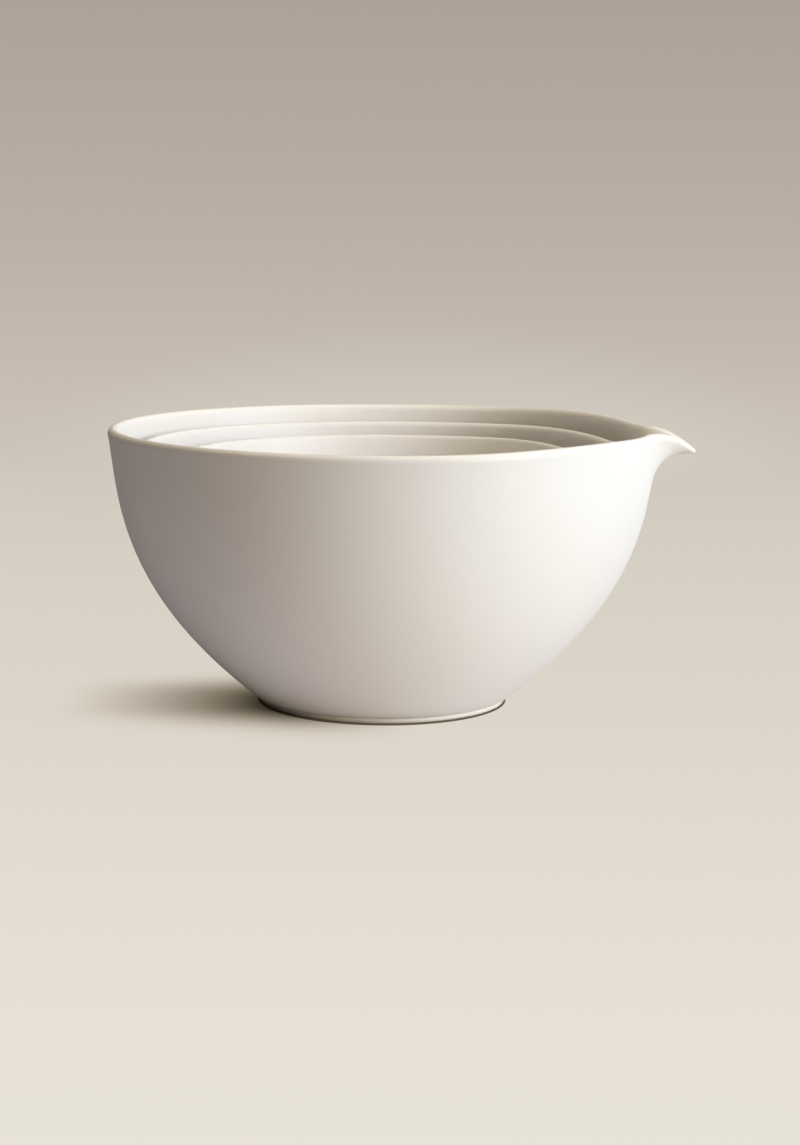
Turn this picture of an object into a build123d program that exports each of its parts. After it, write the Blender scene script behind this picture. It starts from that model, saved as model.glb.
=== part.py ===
from build123d import *

import math
import os
from dataclasses import dataclass

# Nest of three one-piece mixing bowls with pouring beaks, in millimetres.
# +Z is up, the beaks point along +X, and the origin is the centre of the large
# bowl's foot, on the surface that the bowl stands on.
# Driving dimensions are those of the large bowl; the other two scale them.

# ---- outside of the wall ----
RIM_RADIUS = 125.0  # at the lip
WALL_HEIGHT = 122.8  # from the ground to the lip's outer edge
ROOT_RADIUS = 54.7  # where the wall's curve would meet the ground
BELLY_SWEEP = 67.7  # how far the belly widens above that
BELLY_POWER = 2.37  # 2 is a parabola, more is a fuller belly
FLARE_POWER = 8.0  # keeps the outward flare in the top of the wall

# ---- thickness of the wall ----
BASE_THICKNESS = 5.6
LIP_THICKNESS = 4.6
BEAK_THICKNESS = 2.3

# ---- foot and floor ----
FOOT_RADIUS = 56.3
FOOT_WIDTH = 5.6
FOOT_HEIGHT = 3.2
FOOT_EDGE_RADIUS = 0.6  # on both edges of the foot ring
FOOT_FILLET = 1.7  # room for the hollow fillets where the ring meets the bowl
FILLET_SHARE = 0.98  # how much of that room each fillet takes
FOOT_ROOT = 1.0  # how far the ring reaches up into the bowl
FLOOR_HEIGHT = 8.0  # flat middle of the inside
DISH_START = 0.2  # share of the wall's height where the inside turns into the dish

# ---- pouring beak ----
BEAK_START = 0.726  # share of the wall's height where the beak begins
BEAK_REACH = 18.3
BEAK_DROOP = 7.7
BEAK_HALF_WIDTH = 18.0
BEAK_NOSE_POWER = 3.7  # 2 is a pointed beak, more is a blunter one
REACH_POWER = 4.0
DROOP_POWER = 4.8
DROOP_NARROWING = 2.2  # the droop is this power of the beak's share, so it is narrower

# ---- rim beside the beak ----
FLANK_DEPTH = 2.9  # drawn in towards the beak
FLANK_SPREAD = math.radians(46)
SHOULDER_RISE = 1.7  # raised on both sides of the beak
SHOULDER_AZIMUTH = math.radians(41)
SHOULDER_SPREAD = math.radians(25)

# ---- nesting ----
NEST_GAP = 0.3  # free gap under each nested foot

# ---- guide rings that the wall is lofted through ----
RING_POINTS = 72
RING_CROWDING = 3.5  # how strongly a ring's points gather at the beak
WALL_LEVELS = (0.04, 0.065, 0.10, 0.16, 0.23, 0.31, 0.40, 0.49, 0.58, 0.66, 0.72)
BEAK_LEVELS = (0.77, 0.815, 0.855, 0.89, 0.92, 0.945, 0.967, 0.985)
LIP_STEPS = 4
DISH_STEPS = 5


@dataclass
class BowlSize:
    """One bowl of the nest: its scales from the large bowl, and its share of the beak."""

    name: str
    across: float
    upward: float
    beak: float  # a shorter beak keeps a nested bowl clear of the bowl around it


LARGE = BowlSize("large_bowl", 1.0, 1.0, 1.0)
MEDIUM = BowlSize("medium_bowl", 0.886, 0.853, 0.65)
SMALL = BowlSize("small_bowl", 0.744, 0.744, 0.65)


def wall_radius(t):
    """Outside radius of the large bowl at the share t of its wall's height."""
    belly = BELLY_SWEEP * (1 - (1 - t) ** BELLY_POWER)
    flare = RIM_RADIUS - ROOT_RADIUS - BELLY_SWEEP
    return ROOT_RADIUS + belly + flare * t**FLARE_POWER


def beak_share(x, y):
    """How much of the beak's movement reaches a point: 1 on its centre line."""
    if x < 0:
        return 0.0
    return math.exp(-(abs(y / BEAK_HALF_WIDTH) ** BEAK_NOSE_POWER))


def beak_rise(t):
    """0 below the beak's root, 1 at the lip."""
    return max(0.0, (t - BEAK_START) / (1 - BEAK_START))


def outside(size, azimuth, t):
    """Point on the outside face: a turned wall, drawn in, raised and pulled at the beak."""
    near_lip = t**FLARE_POWER
    flank = FLANK_DEPTH * math.exp(-((azimuth / FLANK_SPREAD) ** 2)) * near_lip
    beside = (abs(azimuth) - SHOULDER_AZIMUTH) / SHOULDER_SPREAD
    shoulder = SHOULDER_RISE * math.exp(-(beside**2)) * near_lip
    x = (wall_radius(t) - flank) * math.cos(azimuth)
    y = (wall_radius(t) - flank) * math.sin(azimuth)
    z = WALL_HEIGHT * t + shoulder
    share = beak_share(x, y)
    x += size.beak * BEAK_REACH * share * beak_rise(t) ** REACH_POWER
    z -= size.beak * BEAK_DROOP * share**DROOP_NARROWING * beak_rise(t) ** DROOP_POWER
    return Vector(x * size.across, y * size.across, z * size.upward)


def thickness(size, azimuth, t):
    """Thickness of the wall, which thins towards the lip and again along the beak."""
    radius = wall_radius(t)
    share = beak_share(radius * math.cos(azimuth), radius * math.sin(azimuth))
    wall = BASE_THICKNESS + (LIP_THICKNESS - BASE_THICKNESS) * t
    thinning = (LIP_THICKNESS - BEAK_THICKNESS) * share * beak_rise(t) ** 2
    return (wall - thinning) * size.across


def face_directions(size, azimuth, t):
    """Outward normal of the outside face, and the upward direction within it."""
    step = 1e-4
    around = outside(size, azimuth + step, t) - outside(size, azimuth - step, t)
    upward = outside(size, azimuth, t) - outside(size, azimuth, t - step)
    normal = around.cross(upward).normalized()
    return normal, normal.cross(around).normalized()


def inside(size, azimuth, t):
    """Point on the inside face, one wall thickness behind the outside face."""
    normal, _ = face_directions(size, azimuth, t)
    return outside(size, azimuth, t) - normal * thickness(size, azimuth, t)


def lip(size, azimuth, turn):
    """Point on the rounded lip, from the outside face (turn 0) to the inside face (pi)."""
    normal, upward = face_directions(size, azimuth, 1.0)
    half = thickness(size, azimuth, 1.0) / 2
    centre = outside(size, azimuth, 1.0) - normal * half
    return centre + normal * (half * math.cos(turn)) + upward * (half * math.sin(turn))


def dish_arc(size):
    """Arc that joins the inside wall to the flat floor: its radius, centre radius and angle."""
    start = inside(size, math.pi, DISH_START)
    normal, _ = face_directions(size, math.pi, DISH_START)
    turn = math.acos(-normal.Z)
    radius = (start.Z - FLOOR_HEIGHT * size.upward) / (1 - math.cos(turn))
    return radius, abs(start.X) - radius * math.sin(turn), turn


def dish(size, azimuth, turn):
    """Point on the dished floor where it slopes by the angle turn."""
    arc, centre, _ = dish_arc(size)
    radius = centre + arc * math.sin(turn)
    height = FLOOR_HEIGHT * size.upward + arc * (1 - math.cos(turn))
    return Vector(radius * math.cos(azimuth), radius * math.sin(azimuth), height)


def ring(face, size, level):
    """Closed smooth wire around a face, at one level of it."""
    steps = [2 * i / RING_POINTS - 1 for i in range(RING_POINTS)]
    azimuths = [math.pi * math.sinh(RING_CROWDING * s) / math.sinh(RING_CROWDING) for s in steps]
    points = [face(size, azimuth, level) for azimuth in azimuths]
    knots = azimuths + [azimuths[0] + 2 * math.pi]
    return Wire([Edge.make_spline(points, periodic=True, parameters=knots)])


def lofted_wall(size):
    """Wall, lip and dished floor as one solid, lofted up the outside and down the inside."""
    levels = (FOOT_HEIGHT / WALL_HEIGHT,) + WALL_LEVELS + BEAK_LEVELS
    _, _, dish_angle = dish_arc(size)
    rings = [ring(outside, size, t) for t in levels]
    rings += [ring(lip, size, math.pi * i / LIP_STEPS) for i in range(LIP_STEPS + 1)]
    rings += [ring(inside, size, t) for t in reversed(levels) if t > DISH_START]
    rings += [ring(dish, size, dish_angle * (1 - i / DISH_STEPS)) for i in range(DISH_STEPS + 1)]
    return Solid.make_loft(rings)


def make_bowl(size):
    """One bowl, standing on the ground: the lofted wall and its turned foot ring."""
    outer = FOOT_RADIUS * size.across
    inner = outer - FOOT_WIDTH * size.across
    flare = FOOT_FILLET * size.across
    top = FOOT_HEIGHT * size.upward
    root = top + FOOT_ROOT
    with BuildPart() as bowl:
        add(lofted_wall(size))
        with BuildSketch(Plane.XZ) as section:
            with BuildLine():
                Polyline((inner, 0), (inner, top), (inner - flare, top), (inner - flare, root))
                Line((inner - flare, root), (outer + flare, root))
                Polyline((outer + flare, root), (outer + flare, top), (outer, top), (outer, 0))
                Line((outer, 0), (inner, 0))
            make_face()
            for side in (inner, outer):
                corner = section.vertices().sort_by_distance((side, 0))[0]
                fillet(corner, FOOT_EDGE_RADIUS * size.across)
                corner = section.vertices().sort_by_distance((side, top))[0]
                fillet(corner, FILLET_SHARE * flare)
        revolve(axis=Axis.Z)
    return bowl.part


def nested_height(inner, outer):
    """How far the inner bowl's ground lies above the outer bowl's, NEST_GAP off its dish."""
    arc, centre, _ = dish_arc(outer)
    edge = FOOT_EDGE_RADIUS * inner.across
    beside = FOOT_RADIUS * inner.across - edge - centre
    reach = arc - edge - NEST_GAP
    return FLOOR_HEIGHT * outer.upward + arc - edge - math.sqrt(reach**2 - beside**2)


medium_height = nested_height(MEDIUM, LARGE)
small_height = medium_height + nested_height(SMALL, MEDIUM)

os.makedirs("parts", exist_ok=True)
for size, height in ((LARGE, 0.0), (MEDIUM, medium_height), (SMALL, small_height)):
    bowl = make_bowl(size).moved(Location((0, 0, height)))
    bowl.label = size.name
    export_step(bowl, f"parts/{size.name}.step")
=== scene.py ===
import math

import bpy
from mathutils import Euler, Matrix, Vector


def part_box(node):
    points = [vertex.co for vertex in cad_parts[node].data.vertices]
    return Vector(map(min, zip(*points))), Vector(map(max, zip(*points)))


# Three nested ceramic mixing bowls on a paper sweep, in soft light from the front right.
# Metres, in the part's frame: +Z up, the beaks along +X, the camera on the -Y side.

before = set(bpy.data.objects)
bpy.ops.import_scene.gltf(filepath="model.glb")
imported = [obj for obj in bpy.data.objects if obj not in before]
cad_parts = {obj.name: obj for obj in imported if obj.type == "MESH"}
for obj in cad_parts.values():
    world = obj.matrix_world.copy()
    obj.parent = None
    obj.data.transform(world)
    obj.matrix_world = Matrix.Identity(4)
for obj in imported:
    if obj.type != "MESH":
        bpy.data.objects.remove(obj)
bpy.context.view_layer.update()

scene = bpy.context.scene
scene.view_settings.view_transform = "Standard"
scene.view_settings.look = "None"

# ---- camera ----
CAMERA_AT = Vector((0.0078, -1.11175, 0.23125))
CAMERA_PITCH = 0.154  # below the horizon
CAMERA_ROLL = 0.010
FOCAL_MM = 77.03
SENSOR_MM = 36.0  # height of the frame

# ---- paper sweep ----
FRONT = -4.0
FLOOR_DEPTH = 1.0
CURVE_RADIUS = 0.9
CURVE_STEPS = 24
WALL_TOP = 2.6
HALF_WIDTH = 4.0

# ---- the paper's pale tone with painted light on it, darker from the floor in front to high on the wall ----
TONE_START = -0.6  # along the paper, up its curve
TONE_LENGTH = 3.0
PAPER_TONE_AND_LIGHT = (  # share of that length, and red, green and blue there, out of 255
    (0.02, (232, 227, 216)),
    (0.10, (228, 220, 209)),
    (0.19, (222, 213, 202)),
    (0.30, (216, 209, 197)),
    (0.50, (207, 200, 189)),
    (0.62, (201, 191, 183)),
    (0.78, (186, 176, 168)),
    (1.00, (168, 157, 147)),
)

# ---- the bowl's soft shadow on the paper, to the left of its foot ----
SHADOW_END = -0.1484  # along X, its far end
SHADOW_ROOT = 0.046  # where it would be darkest, if it didn't fade under the bowl
SHADOW_POWER = 0.665  # less than 1 darkens fast near the far end
SHADOW_FADE = (-0.0456, 0.0175)  # the stretch over which it goes again, under the bowl
SHADOW_MIDDLE = -0.010  # its middle line, along Y
SHADOW_WIDTH = 0.0556  # from that line to the edge, at the nest's axis
SHADOW_SPREAD = 0.1218  # how much wider it gets for each metre of X
SHADOW_EDGE_POWER = 3.0  # 2 is a soft edge, more is a firmer one
SHADOW_DEPTH = 1.58
SHADOW_LEAST = 0.055  # share of the paper's light that the darkest part keeps
SHADOW_TONE = (0.95, 1.0, 1.144)  # powers of red, green and blue

# ---- painted contact shadow: a thin, nearly black ring on the paper that runs in under the foot ring ----
CONTACT_SHADOW_RADIUS = 0.0569
CONTACT_SHADOW_LENGTH = 1.055  # a little deeper at the front than at the sides
CONTACT_SHADOW_SOFT = 0.0005
CONTACT_SHADOW_LEAST = 0.16  # share of the light that it keeps

# ---- soft glow of painted light on the paper behind the bowls ----
GLOW = (1.07, 1.10, 1.075)
GLOW_MIDDLE = (0.037, 1.151)  # across the paper, and along it up its curve
GLOW_REACH = (0.405, 0.394)
GLOW_CORE = 0.43  # share of its reach over which the glow is full

# ---- light that the paper throws on the bowls, as a share of how bright it looks ----
BOUNCE_TINT = (0.775, 0.770, 0.865)
BRIGHT_TINT = (1.85, 2.10, 2.70)  # at the bright side, at the back right
BOUNCE_SIDE_EDGE = 0.50  # the paper's light on the bowls is cut off from here out on both sides
BOUNCE_FRONT_EDGE = -0.45  # and from here to the front
BRIGHT_FRONT = 0.60  # but the right side is open and bright from here back
BOUNCE_EDGE_SOFT = 0.06  # half the width of that cut-off's soft edge
SHADED_BOUNCE = 0.65  # taken off where the bowls keep the key light from the paper
AWAY_FROM_KEY = (-0.81, 0.59)
SHADED_START = (0.0, 0.10)  # along that direction
SHADED_SIDE = (0.20, 0.10)  # across it, from outside to inside

# ---- panels: degrees from +X towards +Y, degrees up, width and height, watts, colour ----
PANELS = {
    "key_left": (-45, 9, (0.8, 0.4), 13.2, (1.0, 0.792, 0.595)),
    "key_right": (-30, 9, (0.8, 0.4), 3.5, (0.0, 1.0, 0.85)),
    "key_high": (-25, 20, (0.5, 0.5), 16.7, (0.713, 0.742, 1.0)),
    "top": (0, 80, (1.0, 1.0), 13.0, (1.0, 0.905, 0.73)),
    "left_high": (-160, 60, (0.8, 0.8), 5.2, (1.0, 0.87, 0.66)),
}
PANEL_DISTANCE = 1.6
PANEL_AIM = Vector((0, 0, 0.06))  # about the middle of the nest

# ---- the room past the paper's edges ----
WORLD_COLOR = (190, 180, 170)  # red, green and blue out of 255
WORLD_LIGHT = 0.02  # what the bowls get of it

# ---- glaze ----
GLAZE_COLOR = (0.800, 0.775, 0.730)
GLAZE_WARM = (0.785, 0.752, 0.700)
GLAZE_SPECK = (0.700, 0.665, 0.605)
BISCUIT_COLOR = (0.640, 0.565, 0.470)
BISCUIT_HEIGHT = 0.0011  # the wiped band at the bottom of each foot ring
BISCUIT_EDGE = 0.0003  # half the width of the band's soft edge
BISCUIT_ROUGHNESS = 0.85
GLAZE_ROUGHNESS = (0.44, 0.56)
GLAZE_IOR = 1.45
CLOUDS = (14.0, 2.0, 0.5)  # cells per metre, detail and roughness of each noise
MOTTLE = (420.0, 3.0, 0.6)
PEEL = (520.0, 1.5, 0.5)  # the orange-peel relief
GRAIN = (2600.0, 2.0, 0.7)
CLOUD_SHARE = 0.7  # how far the clouds turn the glaze to its warm tone
SPECKS = (0.60, 0.78)  # the mottle's height where a speck starts and where it is full
SPECK_SHARE = 0.10
GRAIN_SHARE = 0.5  # of the grain, in the bare band's colour and in the relief
RELIEF_STRENGTH = 0.12
RELIEF_DEPTH = 0.00006

WHITE = (1.0, 1.0, 1.0)


def srgb(color):
    """Red, green and blue out of 255, as linear values."""
    return tuple(c / 255 / 12.92 if c <= 10 else ((c / 255 + 0.055) / 1.055) ** 2.4 for c in color)


class Nodes:
    """A new material, with a short call for each kind of node used here."""

    def __init__(self, name):
        self.material = bpy.data.materials.new(name)
        self.material.use_nodes = True
        self.tree = self.material.node_tree
        self.tree.nodes.clear()
        self.output = self.add("ShaderNodeOutputMaterial")
        self.place = self.add("ShaderNodeTexCoord").outputs["Object"]
        self.x, self.y, self.z = self.add("ShaderNodeSeparateXYZ", self.place).outputs

    def add(self, kind, *values, **named):
        """A node; its first sockets, or those named, take a number, a colour or another node's output."""
        node = self.tree.nodes.new(kind)
        for socket, value in zip(node.inputs, values):
            self.put(socket, value)
        for name, value in named.items():
            self.put(node.inputs[name.replace("_", " ")], value)
        return node

    def put(self, socket, value):
        if hasattr(value, "is_output"):
            self.tree.links.new(value, socket)
        elif isinstance(value, tuple) and socket.type == "RGBA":
            socket.default_value = (*value, 1.0)
        else:
            socket.default_value = value

    def math(self, operation, a, b=0.0):
        node = self.tree.nodes.new("ShaderNodeMath")
        node.operation = operation
        self.put(node.inputs[0], a)
        self.put(node.inputs[1], b)
        return node.outputs[0]

    def times(self, first, *others):
        for other in others:
            first = self.math("MULTIPLY", first, other)
        return first

    def plus(self, a, b):
        return self.math("ADD", a, b)

    def distance(self, a, b):
        """How far the point (a, b) is from the origin."""
        return self.math("SQRT", self.plus(self.times(a, a), self.times(b, b)))

    def less_from_one(self, value):
        return self.math("SUBTRACT", 1.0, value)

    def eased(self, value, start, end):
        """0 at start, 1 at end, eased at both."""
        node = self.add("ShaderNodeMapRange", Value=value, From_Min=start, From_Max=end)
        node.interpolation_type = "SMOOTHSTEP"
        return node.outputs["Result"]

    def spread(self, value, low, high):
        """0..1 to low..high, in a straight line."""
        return self.add("ShaderNodeMapRange", Value=value, To_Min=low, To_Max=high).outputs["Result"]

    def noise(self, scale, detail, roughness):
        node = self.add(
            "ShaderNodeTexNoise", Vector=self.place, Scale=scale, Detail=detail, Roughness=roughness
        )
        return node.outputs["Fac"]

    def mixed(self, factor, a, b, blend="MIX"):
        node = self.tree.nodes.new("ShaderNodeMix")
        node.data_type = "RGBA"
        node.blend_type = blend
        for name, value in (("Factor", factor), ("A", a), ("B", b)):
            self.put(node.inputs[name], value)
        return node.outputs["Result"]

    def multiplied(self, a, b):
        """Two colours, channel by channel."""
        return self.mixed(1.0, a, b, "MULTIPLY")

    def scaled(self, tint, factor):
        node = self.tree.nodes.new("ShaderNodeVectorMath")
        node.operation = "SCALE"
        self.put(node.inputs[0], tint)
        self.put(node.inputs["Scale"], factor)
        return node.outputs[0]

    def summed(self, a, b):
        node = self.tree.nodes.new("ShaderNodeVectorMath")
        node.operation = "ADD"
        self.put(node.inputs[0], a)
        self.put(node.inputs[1], b)
        return node.outputs[0]

    def ramp(self, factor, stops):
        node = self.add("ShaderNodeValToRGB", factor)
        elements = node.color_ramp.elements
        while len(elements) < len(stops):
            elements.new(0.5)
        for element, (position, color) in zip(elements, stops):
            element.position = position
            element.color = (*color, 1.0)
        return node.outputs["Color"]

    def finish(self, shader):
        self.tree.links.new(shader, self.output.inputs["Surface"])
        return self.material


# ---------------------------------------------------------------- camera


def make_camera():
    data = bpy.data.cameras.new("camera")
    data.sensor_fit = "VERTICAL"
    data.sensor_height = SENSOR_MM
    data.lens = FOCAL_MM
    camera = bpy.data.objects.new("camera", data)
    scene.collection.objects.link(camera)
    turn = Euler((math.pi / 2 - CAMERA_PITCH, 0, 0)).to_matrix() @ Matrix.Rotation(CAMERA_ROLL, 3, "Z")
    camera.matrix_world = Matrix.Translation(CAMERA_AT) @ turn.to_4x4()
    return camera


# ---------------------------------------------------------------- paper sweep


def sweep_profile():
    """The paper from the front edge of the floor to the top of the wall, as (y, z)."""
    points = [(FRONT, 0.0), (0.0, 0.0), (FLOOR_DEPTH, 0.0)]
    for i in range(1, CURVE_STEPS + 1):
        angle = math.pi / 2 * i / CURVE_STEPS
        points.append((FLOOR_DEPTH + CURVE_RADIUS * math.sin(angle), CURVE_RADIUS * (1 - math.cos(angle))))
    points.append((FLOOR_DEPTH + CURVE_RADIUS, WALL_TOP))
    return points


def make_sweep():
    profile = sweep_profile()
    verts = [(x, y, z) for y, z in profile for x in (-HALF_WIDTH, HALF_WIDTH)]
    faces = [(2 * i, 2 * i + 1, 2 * i + 3, 2 * i + 2) for i in range(len(profile) - 1)]
    mesh = bpy.data.meshes.new("studio_sweep")
    mesh.from_pydata(verts, [], faces)
    for polygon in mesh.polygons:
        polygon.use_smooth = True
    mesh.materials.append(studio_paper())
    sweep = bpy.data.objects.new("studio_sweep", mesh)
    scene.collection.objects.link(sweep)


def bowl_shadow(n):
    """How much light the bowl's painted shadow and painted contact shadow leave on the paper."""
    reach = n.math("POWER", n.eased(n.x, SHADOW_END, SHADOW_ROOT), SHADOW_POWER)
    fade = n.less_from_one(n.eased(n.x, *SHADOW_FADE))
    spread = n.plus(n.times(n.x, SHADOW_SPREAD), SHADOW_WIDTH)
    beside = n.math("ABSOLUTE", n.math("DIVIDE", n.plus(n.y, -SHADOW_MIDDLE), spread))
    across = n.math("EXPONENT", n.times(n.math("POWER", beside, SHADOW_EDGE_POWER), -1.0))
    shade = n.less_from_one(n.times(reach, fade, across, SHADOW_DEPTH))
    shade = n.math("MAXIMUM", shade, SHADOW_LEAST)

    radius = n.distance(n.x, n.math("DIVIDE", n.y, CONTACT_SHADOW_LENGTH))
    contact_shadow = n.eased(radius, CONTACT_SHADOW_RADIUS, CONTACT_SHADOW_RADIUS + CONTACT_SHADOW_SOFT)
    return n.times(shade, n.spread(contact_shadow, CONTACT_SHADOW_LEAST, 1.0))


def past_bounce_edge(n, place, edge):
    """0 before an edge where the paper's light on the bowls is cut off and 1 past it, soft between."""
    return n.eased(place, edge - BOUNCE_EDGE_SOFT, edge + BOUNCE_EDGE_SOFT)


def paper_bounce(n):
    """What light the paper throws on the bowls: the middle, cut off at both sides and the front, less a
    painted shade where the bowls keep the key light from the paper, and the bright side at the back right."""
    right = past_bounce_edge(n, n.x, BOUNCE_SIDE_EDGE)
    middle = n.times(past_bounce_edge(n, n.x, -BOUNCE_SIDE_EDGE), n.less_from_one(right), past_bounce_edge(n, n.y, BOUNCE_FRONT_EDGE))
    bright = n.times(right, past_bounce_edge(n, n.y, BRIGHT_FRONT))
    step_x, step_y = AWAY_FROM_KEY
    away = n.plus(n.times(n.x, step_x), n.times(n.y, step_y))
    aside = n.plus(n.times(n.x, step_y), n.times(n.y, -step_x))
    shaded = n.times(n.eased(away, *SHADED_START), n.eased(n.math("ABSOLUTE", aside), *SHADED_SIDE))
    middle = n.times(middle, n.less_from_one(n.times(shaded, SHADED_BOUNCE)))
    return n.summed(n.scaled(BOUNCE_TINT, middle), n.scaled(BRIGHT_TINT, bright))


def studio_paper():
    """Self-lit paper with painted light and shade: a soft gradient, darker up the wall, a glow behind the
    bowls, and the bowl's painted shadow and contact shadow.
    """
    n = Nodes("studio_paper")
    along = n.plus(n.y, n.z)
    share = n.math("DIVIDE", n.plus(along, -TONE_START), TONE_LENGTH)
    tone_and_light = n.ramp(share, [(position, srgb(color)) for position, color in PAPER_TONE_AND_LIGHT])
    across = n.math("DIVIDE", n.plus(n.x, -GLOW_MIDDLE[0]), GLOW_REACH[0])
    beyond = n.math("DIVIDE", n.plus(along, -GLOW_MIDDLE[1]), GLOW_REACH[1])
    glow = n.less_from_one(n.eased(n.distance(across, beyond), GLOW_CORE, 1.0))
    tone_and_light = n.multiplied(tone_and_light, n.mixed(glow, WHITE, GLOW))
    shade = bowl_shadow(n)
    tint = n.add("ShaderNodeCombineColor", *(n.math("POWER", shade, power) for power in SHADOW_TONE))
    shown = n.multiplied(tone_and_light, tint.outputs[0])
    direct = n.add("ShaderNodeLightPath").outputs["Is Camera Ray"]
    level = n.mixed(direct, paper_bounce(n), WHITE)
    emission = n.add("ShaderNodeEmission", Color=n.multiplied(shown, level), Strength=1.0)
    return n.finish(emission.outputs[0])


# ---------------------------------------------------------------- light


def make_world():
    """Dim for the bowls, and as pale as the paper where the camera looks past the paper's edge."""
    world = bpy.data.worlds.new("studio")
    world.use_nodes = True
    tree = world.node_tree
    background = tree.nodes["Background"]
    background.inputs["Color"].default_value = (*srgb(WORLD_COLOR), 1.0)
    strength = tree.nodes.new("ShaderNodeMapRange")
    strength.inputs["To Min"].default_value = WORLD_LIGHT
    tree.links.new(tree.nodes.new("ShaderNodeLightPath").outputs["Is Camera Ray"], strength.inputs["Value"])
    tree.links.new(strength.outputs["Result"], background.inputs["Strength"])
    return world


def area_light(name, azimuth, elevation, size, power, color):
    """A soft panel that faces the bowls; azimuth is in degrees from +X towards +Y."""
    data = bpy.data.lights.new(name, "AREA")
    data.shape = "RECTANGLE"
    data.size, data.size_y = size
    data.energy = power
    data.color = color
    panel = bpy.data.objects.new(name, data)
    scene.collection.objects.link(panel)
    a, e = math.radians(azimuth), math.radians(elevation)
    outward = Vector((math.cos(e) * math.cos(a), math.cos(e) * math.sin(a), math.sin(e)))
    facing = (-outward).to_track_quat("-Z", "Y").to_matrix().to_4x4()
    panel.matrix_world = Matrix.Translation(PANEL_AIM + PANEL_DISTANCE * outward) @ facing


# ---------------------------------------------------------------- glaze


def satin_glaze(name, ground):
    """Satin off-white glaze, with a wiped matt band at the bottom of the foot, whose height is ground."""
    n = Nodes(name)
    edge = ground + BISCUIT_HEIGHT
    glazed = n.eased(n.z, edge - BISCUIT_EDGE, edge + BISCUIT_EDGE)
    clouds = n.noise(*CLOUDS)
    mottle = n.noise(*MOTTLE)
    grain = n.noise(*GRAIN)
    peel = n.noise(*PEEL)
    color = n.mixed(n.spread(clouds, 0.0, CLOUD_SHARE), GLAZE_COLOR, GLAZE_WARM)
    color = n.mixed(n.times(n.eased(mottle, *SPECKS), SPECK_SHARE), color, GLAZE_SPECK)
    bare = n.mixed(n.times(grain, GRAIN_SHARE), BISCUIT_COLOR, GLAZE_SPECK)
    satin = n.spread(mottle, *GLAZE_ROUGHNESS)
    rough = n.add("ShaderNodeMix", Factor=glazed, A=BISCUIT_ROUGHNESS, B=satin)
    relief = n.plus(n.times(peel, glazed), n.times(grain, GRAIN_SHARE))
    bump = n.add("ShaderNodeBump", Strength=RELIEF_STRENGTH, Distance=RELIEF_DEPTH, Height=relief)
    shader = n.add(
        "ShaderNodeBsdfPrincipled",
        Base_Color=n.mixed(glazed, bare, color),
        Roughness=rough.outputs["Result"],
        IOR=GLAZE_IOR,
        Normal=bump.outputs["Normal"],
    )
    return n.finish(shader.outputs[0])


# ---------------------------------------------------------------- scene

scene.camera = make_camera()
scene.world = make_world()
make_sweep()
for name, settings in PANELS.items():
    area_light(name, *settings)

for name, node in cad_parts.items():
    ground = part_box(name)[0].z
    node.data.materials.clear()
    node.data.materials.append(satin_glaze(name + "_glaze", ground))
